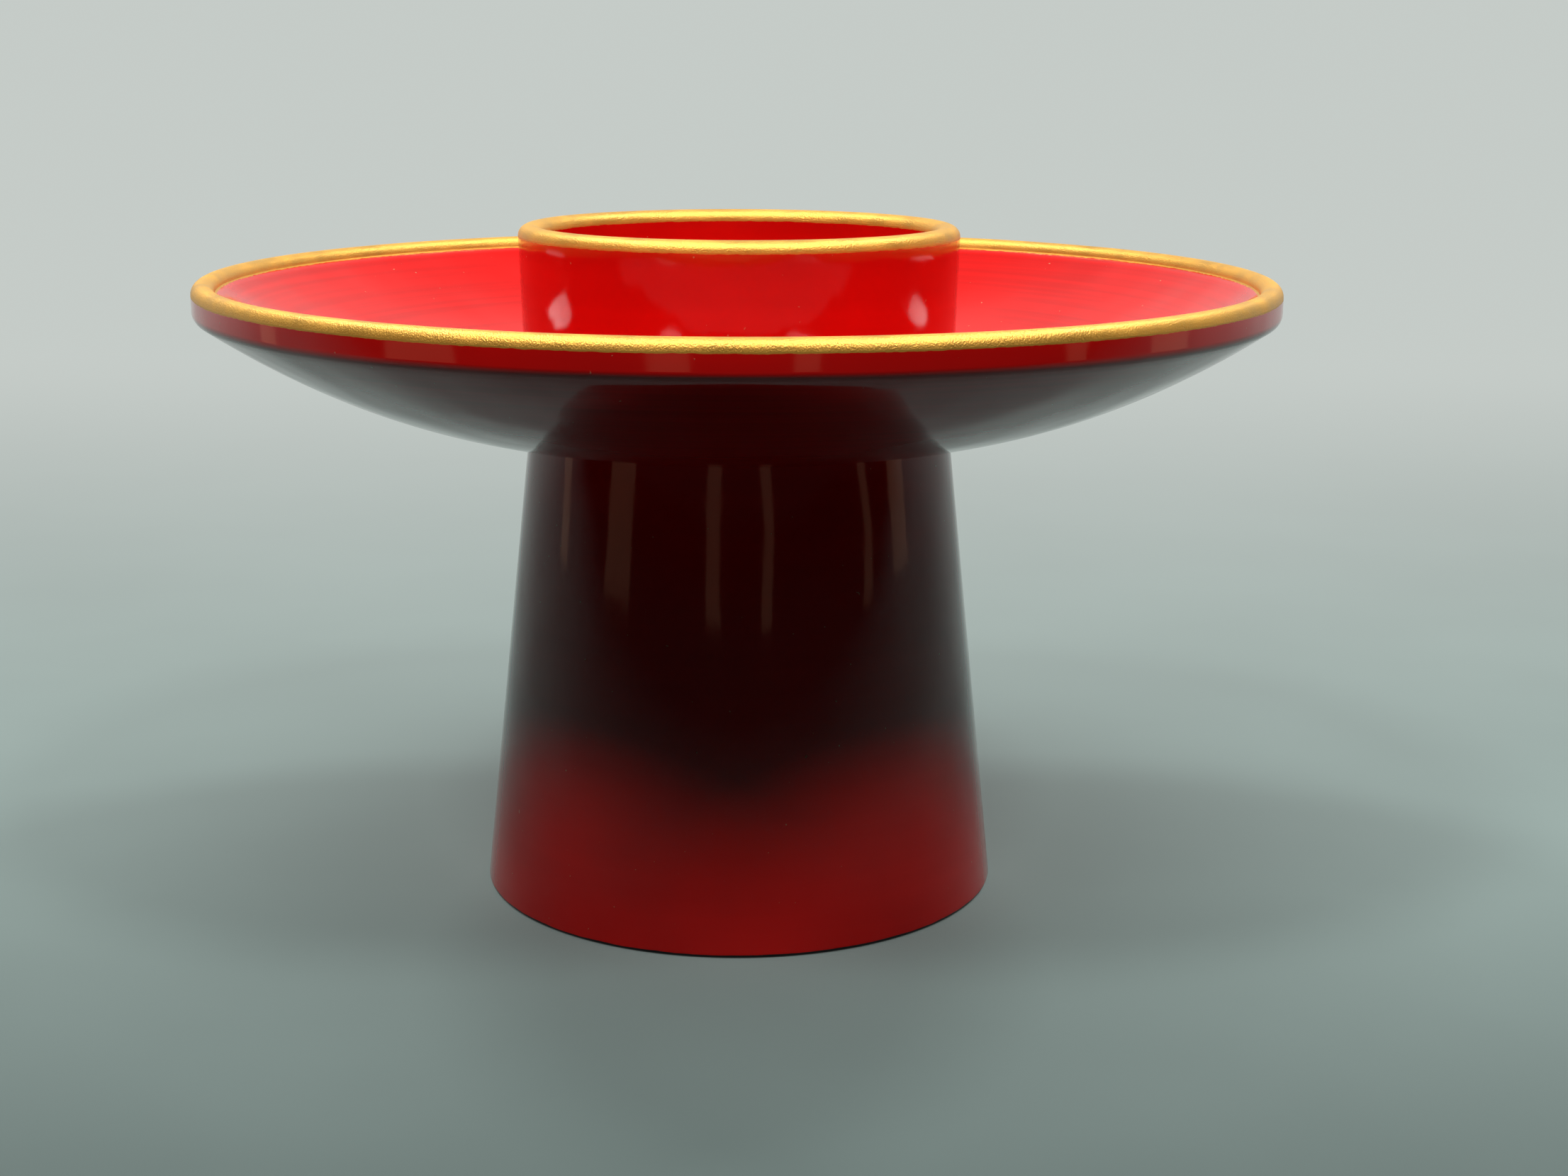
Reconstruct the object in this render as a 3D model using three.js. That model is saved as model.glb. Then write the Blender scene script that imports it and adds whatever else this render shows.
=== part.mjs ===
// Stand for a sake cup: a shallow turned dish on a tapered foot, with a ring in its middle that holds the cup.
// Millimetres, +Z up. The origin is the centre of the foot's base, on the surface that the stand rests on.
// Every piece is turned on a lathe and is glued to the next with lacquer, so nothing on it moves.
import * as THREE from "three";

// Foot
const FOOT_BASE_RADIUS = 32.1;
const FOOT_TOP_RADIUS = 25.9;
const FOOT_HEIGHT = 57;
const FOOT_WALL = 5;
const FOOT_ROOF = 6;
const FOOT_EDGE_ROUND = 0.4;

// Dish
const DISH_RADIUS = 65;
const DISH_FLOOR_THICKNESS = 5;
const RIM_HEIGHT = 17.8; // from the top of the foot to the seat of the gold lip
const RIM_WIDTH = 2.7;
const RIM_WALL_HEIGHT = 3.3;
const RIM_CORNER = 1.4;
const UNDERSIDE_RISE_AT_FOOT = 3.2; // share of the underside's rise that is straight
const BOWL_POWER = 2.2; // how late the inside turns up towards the rim
const FLOOR_LAND = 0.6; // flat floor outside the ring, before the trough begins

// Cup ring
const RING_FOOT_RADIUS = 26.2;
const RING_FLARE = 0.55; // how much wider the ring is at its top
const RING_WALL = 3;
const RING_HEIGHT = 18.8; // from the dish's floor to the seat of its gold lip

// Gold lips
const LIP_HEIGHT = 1.3;

// Joints
const SPIGOT_RADIUS = 17.7;
const SPIGOT_HEIGHT = 1.5;
const TENON_WIDTH = 1.6;
const TENON_DEPTH = 1.2;
const CLEARANCE = 0.3;

// Roundness
const SEGMENTS = 64;
const CURVE_STEPS = 8;

const RED = 0xb00808;
const GOLD = 0xe0a53c;

const ringTopRadius = RING_FOOT_RADIUS + RING_FLARE;
const floorTop = FOOT_HEIGHT + DISH_FLOOR_THICKNESS;
const rimSeat = FOOT_HEIGHT + RIM_HEIGHT;
const ringSeat = floorTop + RING_HEIGHT;
const tenonInside = RING_FOOT_RADIUS - RING_WALL; // the tenon runs on from the ring's inner wall
const tenonOutside = tenonInside + TENON_WIDTH;

// A point of an outline: radius and height.
function at(radius, height) {
  return new THREE.Vector2(radius, height);
}

// Points of a round stretch about a centre, from one angle to another, in degrees.
function arc(radius, height, size, from, to, steps) {
  const points = [];
  for (let i = 0; i <= steps; i += 1) {
    const angle = THREE.MathUtils.degToRad(from + ((to - from) * i) / steps);
    points.push(at(radius + size * Math.cos(angle), height + size * Math.sin(angle)));
  }
  return points;
}

// A turned piece: its outline goes round the axis, with the axis stood up along +Z.
function turned(name, outline, colour, roughness, metalness) {
  const geometry = new THREE.LatheGeometry(outline, SEGMENTS);
  geometry.rotateX(Math.PI / 2);
  const material = new THREE.MeshStandardMaterial({ color: colour, roughness, metalness });
  const mesh = new THREE.Mesh(geometry, material);
  mesh.name = name;
  return mesh;
}

// The foot: a hollow cone that is open below, with a spigot on its closed top.
function foot() {
  const slope = (FOOT_BASE_RADIUS - FOOT_TOP_RADIUS) / FOOT_HEIGHT;
  const roof = FOOT_HEIGHT - FOOT_ROOF;
  const outline = [
    at(0, roof),
    at(FOOT_BASE_RADIUS - FOOT_WALL - slope * roof, roof),
    at(FOOT_BASE_RADIUS - FOOT_WALL, 0),
    at(FOOT_BASE_RADIUS - FOOT_EDGE_ROUND, 0),
    at(FOOT_BASE_RADIUS - slope * FOOT_EDGE_ROUND, FOOT_EDGE_ROUND),
    at(FOOT_TOP_RADIUS, FOOT_HEIGHT),
    at(SPIGOT_RADIUS, FOOT_HEIGHT),
    at(SPIGOT_RADIUS, FOOT_HEIGHT + SPIGOT_HEIGHT),
    at(0, FOOT_HEIGHT + SPIGOT_HEIGHT),
  ];
  return turned("foot", outline, RED, 0.12, 0);
}

// The dish: a flat floor inside the ring, a trough round it, and a short upright rim.
function dish() {
  const cornerTop = rimSeat - RIM_WALL_HEIGHT + RIM_CORNER;
  const corner = arc(DISH_RADIUS - RIM_CORNER, cornerTop, RIM_CORNER, -50, 0, 4);
  const start = corner[0];
  const run = start.x - FOOT_TOP_RADIUS;
  const rise = start.y - FOOT_HEIGHT;
  const underside = [];
  for (let i = 0; i < CURVE_STEPS; i += 1) {
    const t = i / CURVE_STEPS;
    const lift = UNDERSIDE_RISE_AT_FOOT * t + (rise - UNDERSIDE_RISE_AT_FOOT) * t * t;
    underside.push(at(FOOT_TOP_RADIUS + run * t, FOOT_HEIGHT + lift));
  }
  const bowlEdge = DISH_RADIUS - RIM_WIDTH;
  const bowlStart = RING_FOOT_RADIUS + FLOOR_LAND;
  const bowl = [];
  for (let i = CURVE_STEPS; i >= 0; i -= 1) {
    const t = i / CURVE_STEPS;
    const lift = (rimSeat - floorTop) * t ** BOWL_POWER;
    bowl.push(at(bowlStart + (bowlEdge - bowlStart) * t, floorTop + lift));
  }
  const grooveFloor = floorTop - TENON_DEPTH - CLEARANCE;
  const outline = [
    at(0, FOOT_HEIGHT + SPIGOT_HEIGHT + CLEARANCE),
    at(SPIGOT_RADIUS + CLEARANCE, FOOT_HEIGHT + SPIGOT_HEIGHT + CLEARANCE),
    at(SPIGOT_RADIUS + CLEARANCE, FOOT_HEIGHT),
    ...underside,
    ...corner,
    at(DISH_RADIUS, rimSeat),
    ...bowl,
    at(tenonOutside + CLEARANCE, floorTop),
    at(tenonOutside + CLEARANCE, grooveFloor),
    at(tenonInside - CLEARANCE, grooveFloor),
    at(tenonInside - CLEARANCE, floorTop),
    at(0, floorTop),
  ];
  return turned("dish", outline, RED, 0.1, 0);
}

// The ring that holds the cup: a slightly flared wall with a tenon in the dish's groove.
function cupRing() {
  const outline = [
    at(RING_FOOT_RADIUS, floorTop),
    at(ringTopRadius, ringSeat),
    at(ringTopRadius - RING_WALL, ringSeat),
    at(tenonInside, floorTop),
    at(tenonInside, floorTop - TENON_DEPTH),
    at(tenonOutside, floorTop - TENON_DEPTH),
    at(tenonOutside, floorTop),
    at(RING_FOOT_RADIUS, floorTop),
  ];
  return turned("cup_ring", outline, RED, 0.1, 0);
}

// A gold lip: a half-round band that is as wide as the wall that it tops.
function goldLip(name, outerRadius, width, seat) {
  const middle = outerRadius - width / 2;
  const outline = [];
  for (let i = 0; i <= CURVE_STEPS; i += 1) {
    const angle = (Math.PI * i) / CURVE_STEPS;
    outline.push(at(middle + (width / 2) * Math.cos(angle), seat + LIP_HEIGHT * Math.sin(angle)));
  }
  outline.push(outline[0].clone());
  return turned(name, outline, GOLD, 0.3, 1);
}

const stand = new THREE.Group();
stand.name = "sake_cup_stand";
stand.add(foot());
stand.add(dish());
stand.add(cupRing());
stand.add(goldLip("dish_gold_lip", DISH_RADIUS, RIM_WIDTH, rimSeat));
stand.add(goldLip("ring_gold_lip", ringTopRadius, RING_WALL, ringSeat));

export default stand;
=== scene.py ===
"""A red lacquer stand for a sake cup: its turned pieces and their finishes, on a plain stage."""
import math

import bmesh
import bpy
from mathutils import Matrix, Vector


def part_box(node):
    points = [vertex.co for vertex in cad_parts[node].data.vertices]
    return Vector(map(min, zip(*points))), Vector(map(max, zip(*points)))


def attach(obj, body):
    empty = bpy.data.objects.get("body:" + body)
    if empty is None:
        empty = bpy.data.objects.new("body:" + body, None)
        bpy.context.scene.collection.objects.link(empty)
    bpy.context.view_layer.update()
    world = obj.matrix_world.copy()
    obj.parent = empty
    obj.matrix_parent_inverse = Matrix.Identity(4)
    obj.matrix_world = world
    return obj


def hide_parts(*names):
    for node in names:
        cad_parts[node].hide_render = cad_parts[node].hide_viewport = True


bl_info = {
    "name": "Lacquered cup stand",
    "version": (1, 1, 0),
    "blender": (4, 5, 0),
    "location": "3D View > Sidebar > Cup stand",
    "description": "Turns and finishes a red lacquer cup stand with gold lips",
    "category": "Object",
}

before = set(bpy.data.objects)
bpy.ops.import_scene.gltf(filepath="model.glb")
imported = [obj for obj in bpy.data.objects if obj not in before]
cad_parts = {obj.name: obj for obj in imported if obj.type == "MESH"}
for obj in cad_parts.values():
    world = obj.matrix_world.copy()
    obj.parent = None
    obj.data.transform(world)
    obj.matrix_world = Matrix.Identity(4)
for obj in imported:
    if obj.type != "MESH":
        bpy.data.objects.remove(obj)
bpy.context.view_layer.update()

PHOTO_WIDTH = 2212  # pixels

FOOT_LOW, FOOT_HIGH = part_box("foot")
DISH_LOW, DISH_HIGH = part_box("dish")
RING_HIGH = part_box("cup_ring")[1]

# Roundness of the turned pieces
TURNS = 256
CURVE_STEPS = 40
ROUND_STEPS = 8
LIP_STEPS = 16
CORNER_START = -50  # degrees: where the dish's underside runs into its rim
SHARP_ANGLE = 40.0  # degrees
WELD = 1e-6  # metres: points that are nearer than this are one

# Red lacquer: noise scales per metre, reliefs and heights in metres
MOTTLE_SCALE = 34.0
MARK_SCALE = 1500.0  # of the turned marks, outwards from the axis
MARK_DRIFT = 14.0  # of the turned marks, along X and Y
MARK_RISE = 260.0  # of the turned marks, up the walls
TONE_RANGE = (0.36, 0.64)  # of the noise, from the darkest red to the lightest
RED_TONES = (0.8, 1.06)
SPECK_SCALE = 1500.0
SPECK_RANGE = (0.79, 0.81)
SPECK_STRENGTH = 0.55
SPECK_COLOUR = (0.5, 0.25, 0.14, 1.0)
BROAD_RANGE = (0.3, 0.7)
LACQUER_ROUGHNESS = (0.055, 0.1)
LACQUER_RELIEF = 0.0003
WAVE_SCALE = 80.0  # of the slow waves in the gloss, along X and Y
WAVE_RISE = 45.0
RIPPLE_SCALE = 260.0
RIPPLE_SHARE = 0.05
MARK_SHARE = 0.006
SPECK_SHARE = 0.05

# Index of refraction and share of turned marks
FOOT_GLOSS = 1.33
DISH_GLOSS = 1.46
RING_GLOSS = 1.33
FOOT_MARKS = 0.2
DISH_MARKS = 0.5
RING_MARKS = 0.3

# Gold that has run over the edge of a red wall, and a painted contact shadow (a black line) along the
# foot's base
GILT_FINE_SCALE = 900.0
GILT_FINE_DEPTH = 0.00022
GILT_COARSE_SCALE = 130.0
GILT_COARSE_DEPTH = 0.00012
GILT_EDGE = (-0.00002, 0.00004)
GILT_TONE = 0.8
GILT_ROUGHNESS = 0.34
GILT_METAL = 0.55
CONTACT_SHADOW_COLOUR = (0.004, 0.003, 0.003, 1.0)
CONTACT_SHADOW_HEIGHT = 0.0005
CONTACT_SHADOW_EDGE = 0.00008
CONTACT_SHADOW_SCALE = 260.0
CONTACT_SHADOW_WAVER = 0.0002

# Gold lips
PATCH_SCALE = 260.0
GRAIN_SCALE = 5200.0
PATCH_SHARE = 0.6
GOLD_RANGE = (0.36, 0.6)
GOLD_TONES = (0.8, 1.0)
GRAIN_RANGE = (0.3, 0.6)
GOLD_METAL = (0.35, 0.75)
GOLD_ROUGHNESS = (0.34, 0.48)
GOLD_RELIEF = 0.00007
PATCH_HEIGHT = 0.8

# Floor and room: ranges along Y in metres, and of the direction's Y for the room
FLOOR_HALF = 4.0
CLOUD_SCALE = 14.0
CLOUD_RANGE = (0.35, 0.65)
FLOOR_TONES = (0.94, 1.04)
FLOOR_ROUGHNESS = 0.75
FLOOR_SPECULAR = 0.1
DARK_FLOOR = 0.1
FRONT_SHADE_RANGE = (-0.18, -0.01)
FAR_FLOOR = (-0.16, 0.5)
ROOM_FADE = (-0.1, 0.9)
ROOM_TONES = (0.05, 1.0)
BOUNCE_STRENGTH = 0.025

# Soft lamps: angles in degrees, distances and sizes in metres
SIDE_LAMPS = (-42, 42, -125, 125)
SIDE_LAMP_ELEVATION = 54.5
SIDE_LAMP_SIZE = 0.15
TOP_LAMP_ELEVATION = 80
TOP_LAMP_SIZE = 0.6
LAMP_DISTANCE = 0.8

# Upright strip lamps: azimuth in degrees and width in metres
STRIPS = ((-98, 0.04), (-60, 0.1), (-12, 0.05), (14, 0.04), (66, 0.03), (90, 0.08))
STRIP_HEIGHT = 0.2
STRIP_DISTANCE = 0.4
STRIP_WARMTH = (1.0, 0.55, 0.32)


class Socket:
    """One output of a node, with Python's operators for the finish's maths."""

    def __init__(self, finish, socket):
        self.finish = finish
        self.socket = socket

    def maths(self, operation, *values):
        return self.finish.node("ShaderNodeMath", {"operation": operation}, list(values))

    def __add__(self, other):
        return self.maths("ADD", self, other)

    def __mul__(self, other):
        return self.maths("MULTIPLY", self, other)


class Finish:
    """A material, or the room, built from nodes. One method adds any node."""

    def __init__(self, tree, name=""):
        if tree is None:
            self.material = bpy.data.materials.new(name)
            self.material.use_nodes = True
            tree = self.material.node_tree
        self.tree = tree
        self.shader = tree.nodes.get("Principled BSDF")

    def node(self, kind, settings=None, values=None, output=0):
        made = self.tree.nodes.new(kind)
        for key, value in (settings or {}).items():
            setattr(made, key, value)
        pairs = values.items() if isinstance(values, dict) else enumerate(values or [])
        for key, value in pairs:
            self.feed(made.inputs[key], value)
        return Socket(self, made.outputs[output])

    def feed(self, entry, value):
        if isinstance(value, Socket):
            self.tree.links.new(value.socket, entry)
        else:
            entry.default_value = value

    def set(self, **values):
        for key, value in values.items():
            self.feed(self.shader.inputs[key.replace("_", " ")], value)

    def place(self):
        return self.node("ShaderNodeTexCoord", output="Object")

    def axes(self, place=None):
        """The three coordinates of a place, each as a number."""
        split = self.node("ShaderNodeSeparateXYZ", values=[place or self.place()]).socket.node
        return [Socket(self, output) for output in split.outputs]

    def vector(self, x, y, z):
        return self.node("ShaderNodeCombineXYZ", values=[x, y, z])

    def radius(self):
        x, y, _ = self.axes()
        return self.node("ShaderNodeMath", {"operation": "SQRT"}, [x * x + y * y])

    def noise(self, scale, detail, vector=None):
        values = {"Vector": vector or self.place(), "Scale": scale, "Detail": detail}
        return self.node("ShaderNodeTexNoise", {}, values, "Fac")

    def ramp(self, value, low, high, bottom=0.0, top=1.0, curve="LINEAR"):
        settings = {"clamp": True, "interpolation_type": curve}
        values = {"Value": value, "From Min": low, "From Max": high, "To Min": bottom, "To Max": top}
        return self.node("ShaderNodeMapRange", settings, values, "Result")

    def mix(self, factor, first, second):
        values = {"Factor": factor, 6: first, 7: second}
        return self.node("ShaderNodeMix", {"data_type": "RGBA"}, values, 2)

    def bump(self, height, distance):
        values = {"Height": height, "Strength": 1.0, "Distance": distance}
        return self.node("ShaderNodeBump", {}, values, "Normal")

    def direct_sight(self):
        """1 for what the camera sees itself, in a reflection or through glass; 0 for soft bounced light."""
        rays = self.node("ShaderNodeLightPath").socket.node.outputs
        camera = Socket(self, rays["Is Camera Ray"])
        others = Socket(self, rays["Is Glossy Ray"]) + Socket(self, rays["Is Transmission Ray"])
        return self.node("ShaderNodeMath", {"operation": "ADD", "use_clamp": True}, [camera, others])


def shade(colour, factor):
    """A colour made darker or lighter, with its alpha."""
    return tuple(channel * factor for channel in colour[:3]) + (1.0,)


def shades(colour, factors):
    """The two ends of a mix between tones of one colour."""
    return [shade(colour, factor) for factor in factors]


def red_lacquer(name, looks, turned_marks, gloss, gilded_from=None, contact_shadow_to=None):
    """Gloss red lacquer on turned wood, with ragged gold above one height and a painted black contact
    shadow below another.
    """
    finish = Finish(None, name)
    x, y, z = finish.axes()
    radius = finish.radius()
    mottle = finish.noise(MOTTLE_SCALE, 3.0)
    turning = finish.vector(radius * MARK_SCALE, x * MARK_DRIFT, y * MARK_DRIFT + z * MARK_RISE)
    marks = finish.noise(1.0, 3.0, turning)
    depth = finish.ramp(mottle * (1.0 - turned_marks) + marks * turned_marks, *TONE_RANGE)
    base = finish.mix(depth, *shades(looks.red, RED_TONES))
    specks = finish.ramp(finish.noise(SPECK_SCALE, 1.0), *SPECK_RANGE)
    base = finish.mix(specks * SPECK_STRENGTH, base, SPECK_COLOUR)
    roughness = finish.ramp(marks, *BROAD_RANGE, *LACQUER_ROUGHNESS)
    metal = 0.0
    if gilded_from is not None:
        fine = finish.noise(GILT_FINE_SCALE, 3.0) * GILT_FINE_DEPTH
        coarse = finish.noise(GILT_COARSE_SCALE, 1.0) * GILT_COARSE_DEPTH
        start, end = GILT_EDGE
        gilt = finish.ramp(z + (fine + coarse), gilded_from + start, gilded_from + end)
        base = finish.mix(gilt, base, shade(looks.gold, GILT_TONE))
        roughness = roughness + gilt * GILT_ROUGHNESS
        metal = gilt * GILT_METAL
    # Painted contact shadow: near-black colour on the piece below a height, with a wavering upper edge
    if contact_shadow_to is not None:
        shadow_waver = finish.noise(CONTACT_SHADOW_SCALE, 2.0) * CONTACT_SHADOW_WAVER
        edge = finish.ramp(z + shadow_waver, contact_shadow_to + CONTACT_SHADOW_EDGE, contact_shadow_to)
        base = finish.mix(edge, base, CONTACT_SHADOW_COLOUR)
    wave = finish.noise(1.0, 1.0, finish.vector(x * WAVE_SCALE, y * WAVE_SCALE, z * WAVE_RISE))
    ripple = finish.noise(RIPPLE_SCALE, 2.0)
    relief = wave + ripple * RIPPLE_SHARE + marks * MARK_SHARE + specks * SPECK_SHARE
    finish.set(Base_Color=base, Roughness=roughness, Metallic=metal, IOR=gloss)
    finish.set(Normal=finish.bump(relief, LACQUER_RELIEF))
    return finish.material


def gold_lacquer(name, looks):
    """Gold powder on lacquer: fine grain, tonal patches and a broken metal sheen."""
    finish = Finish(None, name)
    patches = finish.noise(PATCH_SCALE, 4.0)
    grain = finish.noise(GRAIN_SCALE, 2.0)
    depth = finish.ramp(patches * PATCH_SHARE + grain * (1.0 - PATCH_SHARE), *GOLD_RANGE)
    finish.set(Base_Color=finish.mix(depth, *shades(looks.gold, GOLD_TONES)))
    finish.set(Metallic=finish.ramp(grain, *GRAIN_RANGE, *GOLD_METAL))
    finish.set(Roughness=finish.ramp(patches, *BROAD_RANGE, *GOLD_ROUGHNESS))
    finish.set(Normal=finish.bump(grain + patches * PATCH_HEIGHT, GOLD_RELIEF))
    return finish.material


class StandShape(bpy.types.PropertyGroup):
    foot_top: bpy.props.FloatProperty(
        name="Foot top radius", description="Where the foot meets the dish", default=0.0259, unit="LENGTH"
    )
    foot_wall: bpy.props.FloatProperty(
        name="Foot wall", description="Thickness of the hollow foot", default=0.005, unit="LENGTH"
    )
    foot_roof: bpy.props.FloatProperty(
        name="Foot roof", description="Wood left above the hollow", default=0.006, unit="LENGTH"
    )
    spigot: bpy.props.FloatProperty(
        name="Spigot height", description="What stands into the dish", default=0.0015, unit="LENGTH"
    )
    edge_round: bpy.props.FloatProperty(
        name="Edge round", description="Radius of the foot's softened edges", default=0.0004, unit="LENGTH"
    )
    roof_round: bpy.props.FloatProperty(
        name="Roof round", description="Radius inside the hollow's top", default=0.003, unit="LENGTH"
    )
    floor: bpy.props.FloatProperty(
        name="Floor thickness", description="Of the dish at its middle", default=0.005, unit="LENGTH"
    )
    land: bpy.props.FloatProperty(
        name="Floor land", description="Flat floor outside the ring", default=0.0006, unit="LENGTH"
    )
    rim_width: bpy.props.FloatProperty(
        name="Rim width", description="Of the dish's lip", default=0.0027, unit="LENGTH"
    )
    rim_wall: bpy.props.FloatProperty(
        name="Rim wall", description="Height of the upright outside", default=0.0033, unit="LENGTH"
    )
    rim_corner: bpy.props.FloatProperty(
        name="Rim corner", description="Radius below the rim's outside", default=0.0014, unit="LENGTH"
    )
    under_rise: bpy.props.FloatProperty(
        name="Underside rise", description="The straight share of the rise", default=0.0032, unit="LENGTH"
    )
    bowl_power: bpy.props.FloatProperty(
        name="Bowl power", description="How late the inside turns up", default=2.2
    )
    ring_wall: bpy.props.FloatProperty(
        name="Ring wall", description="Thickness of the cup ring", default=0.003, unit="LENGTH"
    )
    ring_flare: bpy.props.FloatProperty(
        name="Ring flare",
        description="How much wider the ring is at its top",
        default=0.00055,
        unit="LENGTH",
    )


class StandLooks(bpy.types.PropertyGroup):
    red: bpy.props.FloatVectorProperty(
        name="Red",
        description="Colour of the lacquer",
        subtype="COLOR",
        size=3,
        default=(0.62, 0.0035, 0.0025),
    )
    gold: bpy.props.FloatVectorProperty(
        name="Gold",
        description="Colour of the gold lips",
        subtype="COLOR",
        size=3,
        default=(0.86, 0.45, 0.07),
    )
    backdrop: bpy.props.FloatVectorProperty(
        name="Backdrop",
        description="Pale ground behind the stand",
        subtype="COLOR",
        size=3,
        default=(0.56, 0.6, 0.575),
    )
    floor: bpy.props.FloatVectorProperty(
        name="Floor",
        description="Colour of the floor",
        subtype="COLOR",
        size=3,
        default=(0.165, 0.22, 0.205),
    )


class StandStage(bpy.types.PropertyGroup):
    eye_distance: bpy.props.FloatProperty(
        name="Eye distance", description="From the axis to the camera", default=0.2813, unit="LENGTH"
    )
    eye_height: bpy.props.FloatProperty(
        name="Eye height", description="Of the camera above the floor", default=0.1028, unit="LENGTH"
    )
    eye_side: bpy.props.FloatProperty(
        name="Eye side", description="Of the camera from the axis", default=0.0056, unit="LENGTH"
    )
    pitch: bpy.props.FloatProperty(
        name="Pitch",
        description="How far the camera looks down",
        default=math.radians(13.23),
        subtype="ANGLE",
    )
    roll: bpy.props.FloatProperty(
        name="Roll", description="How far the camera leans", default=math.radians(0.26), subtype="ANGLE"
    )
    focal_pixels: bpy.props.FloatProperty(
        name="Focal length", description="In pixels of the photograph", default=3239.0, subtype="PIXEL"
    )
    lamp_power: bpy.props.FloatProperty(
        name="Lamp power", description="Of each side lamp, in watts", default=2.6, unit="POWER"
    )
    strip_power: bpy.props.FloatProperty(
        name="Strip power", description="Of an upright strip lamp, in watts a metre of width", default=0.36
    )
    top_power: bpy.props.FloatProperty(
        name="Top power", description="Of the overhead lamp, in watts", default=4.4, unit="POWER"
    )


def arc(radius, height, size, start, end):
    """Points of a round stretch about a centre, as radius and height, between two angles in degrees."""
    points = []
    for i in range(ROUND_STEPS + 1):
        angle = math.radians(start + (end - start) * i / ROUND_STEPS)
        points.append((radius + size * math.cos(angle), height + size * math.sin(angle)))
    return points


def turn(name, outline, node, material):
    """Turn a closed outline round the axis, as a lathe does, and let it stand for a CAD node."""
    shape = bmesh.new()
    points = [shape.verts.new((radius, 0.0, height)) for radius, height in outline]
    rims = [shape.edges.new((points[i - 1], points[i])) for i in range(len(points))]
    bmesh.ops.spin(
        shape,
        geom=points + rims,
        cent=(0, 0, 0),
        axis=(0, 0, 1),
        dvec=(0, 0, 0),
        angle=math.tau,
        steps=TURNS,
        use_merge=True,
        use_duplicate=False,
    )
    bmesh.ops.remove_doubles(shape, verts=shape.verts, dist=WELD)
    bmesh.ops.dissolve_degenerate(shape, dist=WELD, edges=shape.edges)
    bmesh.ops.recalc_face_normals(shape, faces=shape.faces)
    for face in shape.faces:
        face.smooth = True
    mesh = bpy.data.meshes.new(name)
    shape.to_mesh(mesh)
    shape.free()
    mesh.set_sharp_from_angle(angle=math.radians(SHARP_ANGLE))
    mesh.materials.append(material)
    piece = bpy.data.objects.new(name, mesh)
    bpy.context.scene.collection.objects.link(piece)
    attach(piece, "root")
    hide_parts(node)


class STAND_OT_foot(bpy.types.Operator):
    """Turn the tapered foot, hollow from below"""

    bl_idname = "stand.foot"
    bl_label = "Foot"

    def execute(self, context):
        size = context.scene.stand_shape
        base = FOOT_HIGH.x
        top = FOOT_HIGH.z - size.spigot
        floor = FOOT_LOW.z
        roof = top - size.foot_roof
        hollow = base - size.foot_wall
        taper = (base - size.foot_top) / top
        edge = size.edge_round
        inside = size.roof_round
        outline = [
            (0.0, roof),
            *arc(hollow - taper * roof - inside, roof - inside, inside, 90, 0),
            *arc(hollow + edge, floor + edge, edge, 180, 270),
            *arc(base - edge, floor + edge, edge, 270, 360),
            *arc(size.foot_top - edge, top - edge, edge, 0, 90),
            (0.0, top),
        ]
        looks = context.scene.stand_looks
        finish = red_lacquer("foot_red_lacquer", looks, FOOT_MARKS, FOOT_GLOSS, contact_shadow_to=CONTACT_SHADOW_HEIGHT)
        turn("foot_turned", outline, "foot", finish)
        return {"FINISHED"}


class STAND_OT_dish(bpy.types.Operator):
    """Turn the dish with its trough, upright rim and curved underside"""

    bl_idname = "stand.dish"
    bl_label = "Dish"

    def execute(self, context):
        size = context.scene.stand_shape
        seat = DISH_HIGH.z
        floor = DISH_LOW.z + size.floor
        corner_height = seat - size.rim_wall + size.rim_corner
        corner = arc(DISH_HIGH.x - size.rim_corner, corner_height, size.rim_corner, CORNER_START, 0)
        run = corner[0][0] - size.foot_top
        bend = corner[0][1] - DISH_LOW.z - size.under_rise
        underside = []
        for i in range(CURVE_STEPS):
            t = i / CURVE_STEPS
            underside.append((size.foot_top + run * t, DISH_LOW.z + size.under_rise * t + bend * t * t))
        start = RING_HIGH.x - size.ring_flare + size.land
        width = DISH_HIGH.x - size.rim_width - start
        bowl = []
        for i in range(CURVE_STEPS, -1, -1):
            t = i / CURVE_STEPS
            bowl.append((start + width * t, floor + (seat - floor) * t**size.bowl_power))
        outline = [(0.0, DISH_LOW.z), *underside, *corner, (DISH_HIGH.x, seat), *bowl, (0.0, floor)]
        looks = context.scene.stand_looks
        finish = red_lacquer("dish_red_lacquer", looks, DISH_MARKS, DISH_GLOSS, gilded_from=seat)
        turn("dish_turned", outline, "dish", finish)
        return {"FINISHED"}


class STAND_OT_cup_ring(bpy.types.Operator):
    """Turn the ring that holds the cup"""

    bl_idname = "stand.cup_ring"
    bl_label = "Cup ring"

    def execute(self, context):
        size = context.scene.stand_shape
        floor = DISH_LOW.z + size.floor
        outside = RING_HIGH.x
        outline = [
            (outside - size.ring_flare, floor),
            (outside, RING_HIGH.z),
            (outside - size.ring_wall, RING_HIGH.z),
            (outside - size.ring_flare - size.ring_wall, floor),
        ]
        looks = context.scene.stand_looks
        finish = red_lacquer("ring_red_lacquer", looks, RING_MARKS, RING_GLOSS, gilded_from=RING_HIGH.z)
        turn("cup_ring_turned", outline, "cup_ring", finish)
        return {"FINISHED"}


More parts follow.
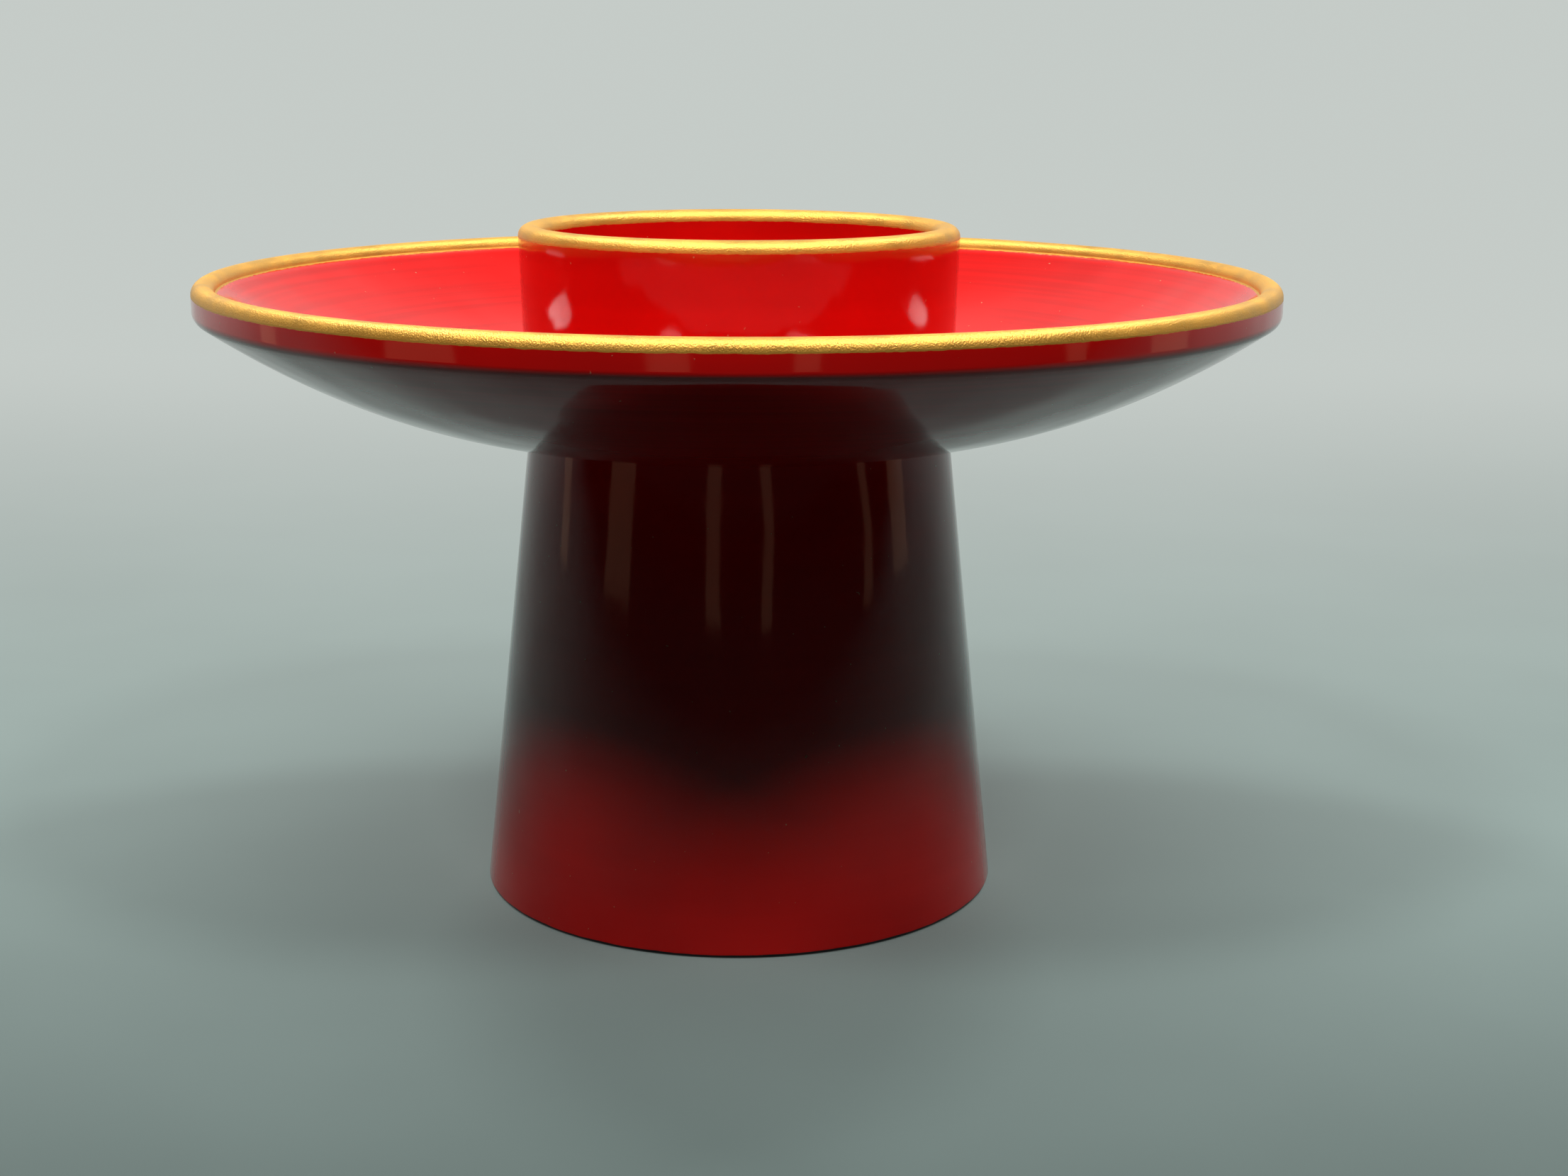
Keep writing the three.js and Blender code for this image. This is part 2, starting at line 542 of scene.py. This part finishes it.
class STAND_OT_gold_lips(bpy.types.Operator):
    """Turn the two half-round gold lips"""

    bl_idname = "stand.gold_lips"
    bl_label = "Gold lips"

    def execute(self, context):
        size = context.scene.stand_shape
        for node, width in (("dish_gold_lip", size.rim_width), ("ring_gold_lip", size.ring_wall)):
            low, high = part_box(node)
            half = width / 2
            outline = []
            for i in range(LIP_STEPS + 1):
                angle = math.pi * i / LIP_STEPS
                height = low.z + (high.z - low.z) * math.sin(angle)
                outline.append((high.x - half + half * math.cos(angle), height))
            finish = gold_lacquer(node + "_finish", context.scene.stand_looks)
            turn(node + "_turned", outline, node, finish)
        return {"FINISHED"}


def area_lamp(name, azimuth, elevation, distance, height, size, power):
    """A lamp at an angle round and above a point of the axis, which it faces."""
    light = bpy.data.lights.new(name, "AREA")
    light.size = size
    light.energy = power
    lamp = bpy.data.objects.new(name, light)
    turned = math.radians(azimuth)
    risen = math.radians(elevation)
    level = math.cos(risen)
    away = Vector((math.sin(turned) * level, -math.cos(turned) * level, math.sin(risen)))
    lamp.location = Vector((0.0, 0.0, height)) + away * distance
    lamp.rotation_euler = away.to_track_quat("Z", "Y").to_euler()
    bpy.context.scene.collection.objects.link(lamp)
    return lamp


def soft_lamp(name, azimuth, elevation, size, power):
    """A round soft lamp that faces the dish."""
    lamp = area_lamp(name, azimuth, elevation, LAMP_DISTANCE, DISH_LOW.z, size, power)
    lamp.data.shape = "DISK"


def strip_lamp(name, azimuth, width, power):
    """An upright strip of dim warm light that only draws a soft streak down the gloss."""
    lamp = area_lamp(name, azimuth, 0.0, STRIP_DISTANCE, STRIP_HEIGHT / 2, width, power * width)
    lamp.data.shape = "RECTANGLE"
    lamp.data.size_y = STRIP_HEIGHT
    lamp.data.color = STRIP_WARMTH
    lamp.visible_camera = False
    lamp.visible_diffuse = False


def pale_floor(looks):
    """Plain floor that fades into the backdrop's pale colour behind the stand, and into a painted dark
    shade in front.
    """
    finish = Finish(None, "pale_floor")
    sight = finish.direct_sight()
    cloud = finish.ramp(finish.noise(CLOUD_SCALE, 3.0), *CLOUD_RANGE)
    plain = finish.mix(cloud, *shades(looks.floor, FLOOR_TONES))
    dark = shade(looks.floor, DARK_FLOOR)
    _, y, _ = finish.axes()
    # Painted shade: the floor's colour darkens towards the front of the stand
    plain = finish.mix(finish.ramp(y, *FRONT_SHADE_RANGE), dark, plain)
    finish.set(Base_Color=finish.mix(sight, dark, plain))
    finish.set(Roughness=FLOOR_ROUGHNESS, Specular_IOR_Level=FLOOR_SPECULAR)
    glow = finish.node("ShaderNodeEmission", {}, {"Color": shade(looks.backdrop, 1.0), "Strength": sight})
    far = finish.ramp(y, *FAR_FLOOR, curve="SMOOTHSTEP")
    lit = Socket(finish, finish.shader.outputs[0])
    mixed = finish.node("ShaderNodeMixShader", {}, [far, lit, glow])
    finish.feed(finish.tree.nodes["Material Output"].inputs["Surface"], mixed)
    return finish.material


class STAND_OT_stage(bpy.types.Operator):
    """Set the floor, the lamps, the world and the camera"""

    bl_idname = "stand.stage"
    bl_label = "Stage"

    def execute(self, context):
        scene = context.scene
        stage = scene.stand_stage
        looks = scene.stand_looks
        mesh = bpy.data.meshes.new("floor")
        shape = bmesh.new()
        bmesh.ops.create_grid(shape, x_segments=1, y_segments=1, size=FLOOR_HALF)
        shape.to_mesh(mesh)
        shape.free()
        mesh.materials.append(pale_floor(looks))
        floor = bpy.data.objects.new("floor", mesh)
        scene.collection.objects.link(floor)

        for azimuth in SIDE_LAMPS:
            name = "side_lamp_" + str(azimuth)
            soft_lamp(name, azimuth, SIDE_LAMP_ELEVATION, SIDE_LAMP_SIZE, stage.lamp_power)
        soft_lamp("top_lamp", 0, TOP_LAMP_ELEVATION, TOP_LAMP_SIZE, stage.top_power)
        for azimuth, width in STRIPS:
            strip_lamp("strip_lamp_" + str(azimuth), azimuth, width, stage.strip_power)

        world = scene.world or bpy.data.worlds.new("room")
        scene.world = world
        world.use_nodes = True
        room = Finish(world.node_tree)
        background = world.node_tree.nodes["Background"]
        _, ahead, _ = room.axes(room.node("ShaderNodeTexCoord", output="Generated"))
        behind = room.ramp(ahead, *ROOM_FADE, curve="SMOOTHSTEP")
        strength = room.ramp(room.direct_sight(), 0.0, 1.0, BOUNCE_STRENGTH, 1.0)
        room.feed(background.inputs["Color"], room.mix(behind, *shades(looks.backdrop, ROOM_TONES)))
        room.feed(background.inputs["Strength"], strength)

        scene.view_settings.view_transform = "Standard"
        lens = bpy.data.cameras.new("camera")
        lens.lens = lens.sensor_width * stage.focal_pixels / PHOTO_WIDTH
        eye = bpy.data.objects.new("camera", lens)
        tilt = Matrix.Rotation(math.pi / 2 - stage.pitch, 4, "X")
        lean = Matrix.Rotation(stage.roll, 4, "Z")
        place = Matrix.Translation((stage.eye_side, -stage.eye_distance, stage.eye_height))
        eye.matrix_world = place @ tilt @ lean
        scene.collection.objects.link(eye)
        scene.camera = eye
        return {"FINISHED"}


class STAND_PT_panel(bpy.types.Panel):
    """List the steps that make the stand"""

    bl_label = "Cup stand"
    bl_idname = "STAND_PT_panel"
    bl_space_type = "VIEW_3D"
    bl_region_type = "UI"
    bl_category = "Cup stand"

    def draw(self, context):
        for step in STEPS:
            self.layout.operator(step.bl_idname)


STEPS = (STAND_OT_foot, STAND_OT_dish, STAND_OT_cup_ring, STAND_OT_gold_lips, STAND_OT_stage)
CLASSES = (StandShape, StandLooks, StandStage, *STEPS, STAND_PT_panel)


def register():
    for each in CLASSES:
        bpy.utils.register_class(each)
    bpy.types.Scene.stand_shape = bpy.props.PointerProperty(type=StandShape)
    bpy.types.Scene.stand_looks = bpy.props.PointerProperty(type=StandLooks)
    bpy.types.Scene.stand_stage = bpy.props.PointerProperty(type=StandStage)


def unregister():
    del bpy.types.Scene.stand_stage
    del bpy.types.Scene.stand_looks
    del bpy.types.Scene.stand_shape
    for each in reversed(CLASSES):
        bpy.utils.unregister_class(each)


def main():
    register()
    bpy.ops.stand.foot()
    bpy.ops.stand.dish()
    bpy.ops.stand.cup_ring()
    bpy.ops.stand.gold_lips()
    bpy.ops.stand.stage()


if __name__ == "__main__":
    main()
